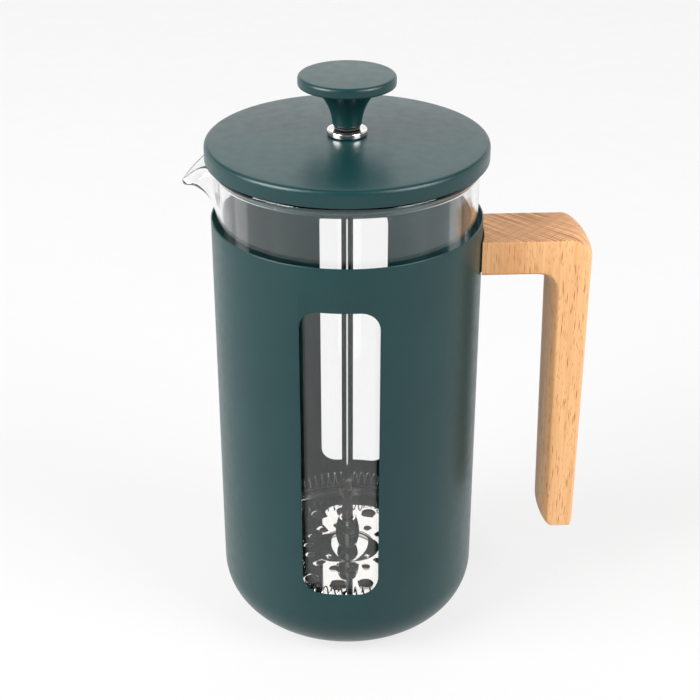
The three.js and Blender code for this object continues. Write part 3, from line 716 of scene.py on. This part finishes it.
def thick_surface(middle, half):
    """Rows of a closed skin at half thickness on both sides of a middle surface, with a round rim."""
    along = np.gradient(middle, axis=0)
    around = np.roll(middle, -1, axis=1) - np.roll(middle, 1, axis=1)
    normal = np.cross(around, along)
    length = np.linalg.norm(normal, axis=2, keepdims=True)
    normal = normal / np.maximum(length, 1e-9)
    normal[0] = (0, 0, -1)
    tangent = along / np.maximum(np.linalg.norm(along, axis=2, keepdims=True), 1e-9)
    half = np.asarray(half)[:, None, None]
    outer = middle + normal * half
    inner = middle - normal * half
    rim = []
    for angle in np.radians(np.linspace(0, 180, 11))[1:-1]:
        rim.append(middle[-1] + half[-1] * (normal[-1] * math.cos(angle) + tangent[-1] * math.sin(angle)))
    return np.concatenate([outer, np.array(rim), inner[::-1]])


def build_beaker(glass):
    line = glass_centre_line()
    middle = circle_rows(np.array([p[:2] for p in line]), 288)
    pull_spout(middle)
    skin = thick_surface(middle, [p[2] for p in line])
    beaker = grid_object("beaker_glass", skin)
    smooth(beaker.data, 80)
    finish_piece(beaker, "beaker_body", ["beaker"], glass)
    beaker.visible_shadow = False


# ---------------------------------------------------------------- lid

LID_EDGE_TOP = 198.2
LID_WALL = 0.8
LID_BORE = 5.0
LINER_SHOULDER = 191.8  # underside of the plate that lies on the glass
LINER_PLATE_LOW = 195.1
LINER_PLATE_EDGE = 197.1
LINER_SKIRT_RADIUS = 45.2
LINER_SKIRT_WALL = 1.8
ROD_BORE = 2.5  # every piece round the rod
LID_CROWN = 1.5  # how much higher the middle of the lid is than its edge


def crowned_face(start, end, edge_height, steps=12):
    """Points of a shallow dome, level with a height at the lid's edge."""
    return [
        (r, edge_height + LID_CROWN * (1 - (r / LID_HIGH.x) ** 2))
        for r in np.linspace(start, end, steps)
    ]


def build_lid(paint, bush_steel):
    wall = LID_WALL
    radius = LID_HIGH.x
    bore = LID_BORE
    cover = turned("lid_shell", [
        (radius - wall, LID_LOW.z, 0.25),
        (radius, LID_LOW.z, 0.25),
        (radius, LID_EDGE_TOP, 1.9),
        *crowned_face(radius - 5, bore + 0.4, LID_EDGE_TOP),
        (bore, LID_HIGH.z - 0.3),
        *crowned_face(bore, radius - 5, LID_EDGE_TOP - wall),
        (radius - wall, LID_EDGE_TOP - wall, 2.0),
    ], 256, ring=True, steps=9)
    finish_piece(cover, "lid_body", ["lid_cover"], paint)

    skirt = LINER_SKIRT_RADIUS
    skirt_inside = skirt - LINER_SKIRT_WALL
    liner = turned("lid_underplate", [
        (skirt_inside, LINER_LOW.z, 0.5),
        (skirt, LINER_LOW.z, 0.5),
        (skirt, LINER_SHOULDER, 0.4),
        (LINER_HIGH.x, LINER_SHOULDER, 0.3),
        (LINER_HIGH.x, LINER_PLATE_LOW, 0.3),
        *crowned_face(LINER_HIGH.x - 2.5, bore, LINER_PLATE_EDGE),
        *crowned_face(bore, skirt - 4, LINER_PLATE_LOW),
        (skirt_inside, LINER_PLATE_LOW, 0.8),
    ], 200, ring=True, steps=4)
    finish_piece(liner, "lid_body", ["lid_liner"], paint)

    stem = 4.7
    shoulder = COLLAR_HIGH.z - 2.0
    bush = turned("lid_bush", [
        (ROD_BORE, COLLAR_LOW.z, 0.15),
        (stem, COLLAR_LOW.z, 0.3),
        (stem, shoulder, 0.1),
        (COLLAR_HIGH.x, shoulder, 0.35),
        (COLLAR_HIGH.x, COLLAR_HIGH.z, 0.6),
        (ROD_BORE, COLLAR_HIGH.z, 0.15),
    ], 96, ring=True)
    finish_piece(bush, "lid_body", ["lid_collar"], bush_steel)


# ---------------------------------------------------------------- plunger

KNOB_DISC = 3.8


def build_knob(paint, rubber):
    low, high, radius = KNOB_LOW.z, KNOB_HIGH.z, KNOB_HIGH.x
    disc_low = high - KNOB_DISC
    bore = ROD_BORE
    socket_top = ROD_HIGH.z + 0.3
    corners = [
        (0, socket_top),
        (bore, socket_top, 0.3),
        (bore, low, 0.15),
        (4.7, low),
        (5.1, low + 0.15),
        *bezier((5.3, low + 0.5), (5.9, disc_low - 5.6), (13.0, disc_low), 24),
        (radius - 1.1, disc_low + 0.05),
        (radius, disc_low + 0.1, 0.7),
        (radius, high, 1.5),
        (0, high),
    ]
    knob = turned("knob_cap", corners, 160, steps=8)
    finish_piece(knob, "plunger_body", ["knob"], paint)
    bumper = turned("knob_washer", [
        (bore, BUMPER_LOW.z, 0.1),
        (BUMPER_HIGH.x, BUMPER_LOW.z, 0.35),
        (BUMPER_HIGH.x, BUMPER_HIGH.z, 0.35),
        (bore, BUMPER_HIGH.z, 0.1),
    ], 96, ring=True)
    finish_piece(bumper, "plunger_body", ["knob_bumper"], rubber)


def build_rod(polished):
    radius = ROD_HIGH.x
    rod = turned("rod_bar", [
        (0, ROD_LOW.z),
        (radius, ROD_LOW.z, 0.5),
        *[(radius, z) for z in np.linspace(ROD_LOW.z + 8, ROD_HIGH.z - 8, 6)],
        (radius, ROD_HIGH.z, 0.5),
        (0, ROD_HIGH.z),
    ], 64)
    finish_piece(rod, "plunger_body", ["plunger_rod"], polished)


def build_hub(polished):
    low, high, middle = HUB_LOW.z, HUB_HIGH.z, (HUB_LOW.z + HUB_HIGH.z) / 2
    end, widest, bore = 3.5, 4.8, ROD_BORE
    barrel = [
        (end + (widest - end) * (1 - ((z - middle) / (high - middle)) ** 2), z)
        for z in np.linspace(low + 0.2, high - 0.2, 22)
    ]
    hub = turned("barrel_hub", [
        (bore, low), (end - 0.2, low), *barrel, (end - 0.2, high), (bore, high),
    ], 80, ring=True)
    finish_piece(hub, "plunger_body", ["filter_hub"], polished)


PLATE_FLOOR = 21.4
PLATE_SHEET = 0.6
PLATE_TURN_UP = 2.2  # width of the edge that turns up
BOSS_RADIUS = 11.5
BOSS_RISE = 0.9
PLATE_HOLES = 15
HOLE_TURN = math.radians(7.2)
HOLE_ROWS = ((1.6, 15.9, 0.0), (2.95, 26.3, 0.5))  # hole radius, ring radius, shift in steps


def plate_height(radius):
    """Height of the plate's upper face: a flat floor with a raised boss round the rod."""
    t = min(radius / BOSS_RADIUS, 1)
    return PLATE_FLOOR + BOSS_RISE * (1 - t ** 4)


def build_plate(polished):
    bore = ROD_BORE
    edge = PLATE_HIGH.x
    corner = edge - PLATE_TURN_UP
    radii = [bore, *np.linspace(3.2, BOSS_RADIUS, 16), 13.5, 19, 23, 31, 36]
    upper = [(r, plate_height(r)) for r in radii]
    turned_up = ease_corners([
        (corner - 1, PLATE_FLOOR),
        (edge - PLATE_SHEET, PLATE_FLOOR, 1.9),
        (edge - PLATE_SHEET, PLATE_HIGH.z),
    ], closed=False, steps=8)
    upper += [tuple(p) for p in turned_up]
    under_turn = ease_corners([
        (corner - 1, PLATE_FLOOR - PLATE_SHEET),
        (edge, PLATE_FLOOR - PLATE_SHEET, 2.3),
        (edge, PLATE_HIGH.z),
    ], closed=False, steps=8)
    lower = [(r, plate_height(r) - PLATE_SHEET) for r in radii] + [tuple(p) for p in under_turn]
    profile = np.array(lower + upper[::-1])
    plate = grid_object("perforated_plate", circle_rows(profile, 180), close_rows=True)
    tools = []
    for radius, ring, phase in HOLE_ROWS:
        for index in range(PLATE_HOLES):
            angle = -math.pi / 2 + HOLE_TURN + 2 * math.pi * (index + phase) / PLATE_HOLES
            rows = circle_rows(np.array([(0, 18), (radius, 18), (radius, 25), (0, 25)]), 40)
            rows[..., 0] += ring * math.cos(angle)
            rows[..., 1] += ring * math.sin(angle)
            tools.append(grid_object("hole_tool", rows))
    cut_away(plate, tools)
    bevel(plate, 0.16, segments=2, angle=50)
    smooth(plate.data, 25)
    finish_piece(plate, "plunger_body", ["spiral_plate"], polished)


def build_spring(polished):
    """A fine coil bent round into a ring and joined end to end."""
    turns, per_turn, sides = 90, 26, 8
    wire = 0.28
    coil = (SPRING_HIGH.z - SPRING_LOW.z) / 2 - 0.35
    ring = SPRING_HIGH.x - coil - 0.35
    height = (SPRING_HIGH.z + SPRING_LOW.z) / 2
    around = np.linspace(0, 2 * math.pi, turns * per_turn, endpoint=False)
    turn = turns * around
    outward = np.stack([np.cos(around), np.sin(around), np.zeros_like(around)], axis=1)
    up = np.array([0.0, 0.0, 1.0])
    spoke = outward * np.cos(turn)[:, None] + up * np.sin(turn)[:, None]
    centre = outward * ring + up * height + spoke * coil
    along = np.roll(centre, -1, axis=0) - np.roll(centre, 1, axis=0)
    along /= np.linalg.norm(along, axis=1, keepdims=True)
    side = np.cross(along, spoke)
    rows = []
    for index in range(sides):
        angle = 2 * math.pi * index / sides
        rows.append(centre + wire * (math.cos(angle) * spoke + math.sin(angle) * side))
    spring = grid_object("edge_spring", np.array(rows), close_rows=True)
    smooth(spring.data, 80)
    finish_piece(spring, "plunger_body", ["filter_spring"], polished)


def build_screen(woven):
    sheet = 0.4
    lip_drop = 0.9  # the lip lies below the top of the CAD's plain ring
    low, high = MESH_LOW.z, MESH_HIGH.z - lip_drop
    wall = PLATE_HIGH.x + 0.5
    edge = MESH_HIGH.x
    screen = turned("wire_cloth", [
        (ROD_BORE, low),
        (wall + sheet, low, 0.8),
        (wall + sheet, high - sheet, 0.5),
        (edge, high - sheet, 0.1),
        (edge, high, 0.1),
        (wall, high, 0.5),
        (wall, low + sheet, 0.5),
        (ROD_BORE, low + sheet),
    ], 200, ring=True)
    finish_piece(screen, "plunger_body", ["mesh_screen"], woven)


# ---------------------------------------------------------------- CAD nodes that stay

def dress_node(name, material, edge):
    """A CAD node that keeps its shape: a new material, and its edges eased by a modifier."""
    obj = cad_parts[name]
    obj.data.materials.clear()
    obj.data.materials.append(material)
    modifier = obj.modifiers.new("edges", "BEVEL")
    modifier.width = edge * MM
    modifier.segments = 2
    modifier.limit_method = "ANGLE"
    modifier.angle_limit = math.radians(35)


# ---------------------------------------------------------------- studio

def floor_material():
    graph = Graph("white_floor")
    paper = graph.noise(420, detail=4)
    graph.set(
        Base_Color=graph.blend(paper, rgb(0.110, 0.110, 0.111), rgb(0.120, 0.120, 0.121)),
        Roughness=graph.remap(graph.noise(60, detail=3), 0.3, 0.7, 0.55, 0.65),
        Specular_IOR_Level=0.1,
        Emission_Color=rgb(1.0, 0.997, 0.995),
        Emission_Strength=0.745,
    )
    graph.bump(paper, 0.01)
    return graph.material


def build_floor():
    size = 4.0
    mesh = bpy.data.meshes.new("studio_floor")
    corners = [(-size, -size, 0), (size, -size, 0), (size, size, 0), (-size, size, 0)]
    mesh.from_pydata(corners, [], [(0, 1, 2, 3)])
    floor = add_object("studio_floor", mesh)
    floor.data.materials.append(floor_material())


def build_world():
    """Studio surroundings: a low bright backdrop behind the object, a dim room everywhere else."""
    world = bpy.data.worlds.new("studio")
    world.use_nodes = True
    tree = world.node_tree
    direction = tree.nodes.new("ShaderNodeTexCoord").outputs["Generated"]
    split = tree.nodes.new("ShaderNodeSeparateXYZ")
    tree.links.new(direction, split.inputs[0])

    def step(socket, from_min, from_max, to_min, to_max):
        """A smooth change of value along one direction."""
        node = tree.nodes.new("ShaderNodeMapRange")
        node.interpolation_type = "SMOOTHSTEP"
        tree.links.new(socket, node.inputs["Value"])
        limits = {"From Min": from_min, "From Max": from_max, "To Min": to_min, "To Max": to_max}
        for name, value in limits.items():
            node.inputs[name].default_value = value
        return node.outputs["Result"]

    behind = step(split.outputs[1], -0.2, 0.5, 0.0, 1.0)
    low = step(split.outputs[2], 0.20, 0.52, 1.0, 0.0)
    backdrop = tree.nodes.new("ShaderNodeMath")
    backdrop.operation = "MULTIPLY"
    tree.links.new(behind, backdrop.inputs[0])
    tree.links.new(low, backdrop.inputs[1])
    background = tree.nodes["Background"]
    background.inputs["Color"].default_value = (1.0, 1.0, 1.0, 1.0)
    tree.links.new(step(backdrop.outputs[0], 0.0, 1.0, 0.22, 1.35), background.inputs["Strength"])
    bpy.context.scene.world = world


def add_softbox(name, place, target, width, height, power):
    """A rectangular area light: sizes in metres, power in watts."""
    data = bpy.data.lights.new(name, "AREA")
    data.shape = "RECTANGLE"
    data.size = width
    data.size_y = height
    data.energy = power
    light = bpy.data.objects.new(name, data)
    light.location = place
    light.rotation_euler = (Vector(target) - Vector(place)).to_track_quat("-Z", "Y").to_euler()
    bpy.context.scene.collection.objects.link(light)


def build_lights():
    middle = (0, 0, 0.1)
    add_softbox("softbox_left", (-1.22, -0.70, 1.0), middle, 1.1, 1.15, 62)
    add_softbox("softbox_right", (1.25, -0.66, 1.0), middle, 0.95, 1.15, 40)
    add_softbox("softbox_rear", (0.0, 1.15, 1.15), middle, 1.2, 1.0, 4.6)


def build_camera():
    data = bpy.data.cameras.new("camera")
    data.sensor_width = 36.0
    data.lens = 79.29
    data.clip_start = 0.01
    data.clip_end = 20.0
    camera = bpy.data.objects.new("camera", data)
    camera.location = (0.02985, -0.52445, 0.38833)
    camera.rotation_euler = (math.radians(62.28), 0.0, math.radians(3.145))
    bpy.context.scene.collection.objects.link(camera)
    bpy.context.scene.camera = camera


# ---------------------------------------------------------------- assembly

paint = powder_coat("blue_green_powder_coat", (0.0016, 0.0225, 0.0240), (0.0023, 0.0267, 0.0282), 0.33)
rubber = dull_rubber()
polished = polished_steel()
satin = satin_steel()
brass = plain_brass()

build_camera()
build_world()
build_lights()
build_floor()

build_sleeve(paint)
build_pads(rubber)
build_handle(beech())
build_gasket(rubber)
build_beaker(clear_glass())
build_lid(paint, polished_steel("bush_steel", 0.11))
build_knob(paint, rubber)
build_rod(polished)
build_hub(polished)
build_plate(polished)
build_spring(polished)
build_screen(woven_screen())

dress_node("lid_nut", satin, 0.25)
dress_node("cap_nut", satin, 0.25)
dress_node("cross_plate", satin, 0.12)
for number in (1, 2):
    dress_node(f"handle_screw_{number}", satin, 0.1)
    dress_node(f"handle_insert_{number}", brass, 0.1)

bpy.context.scene.view_settings.view_transform = "Standard"
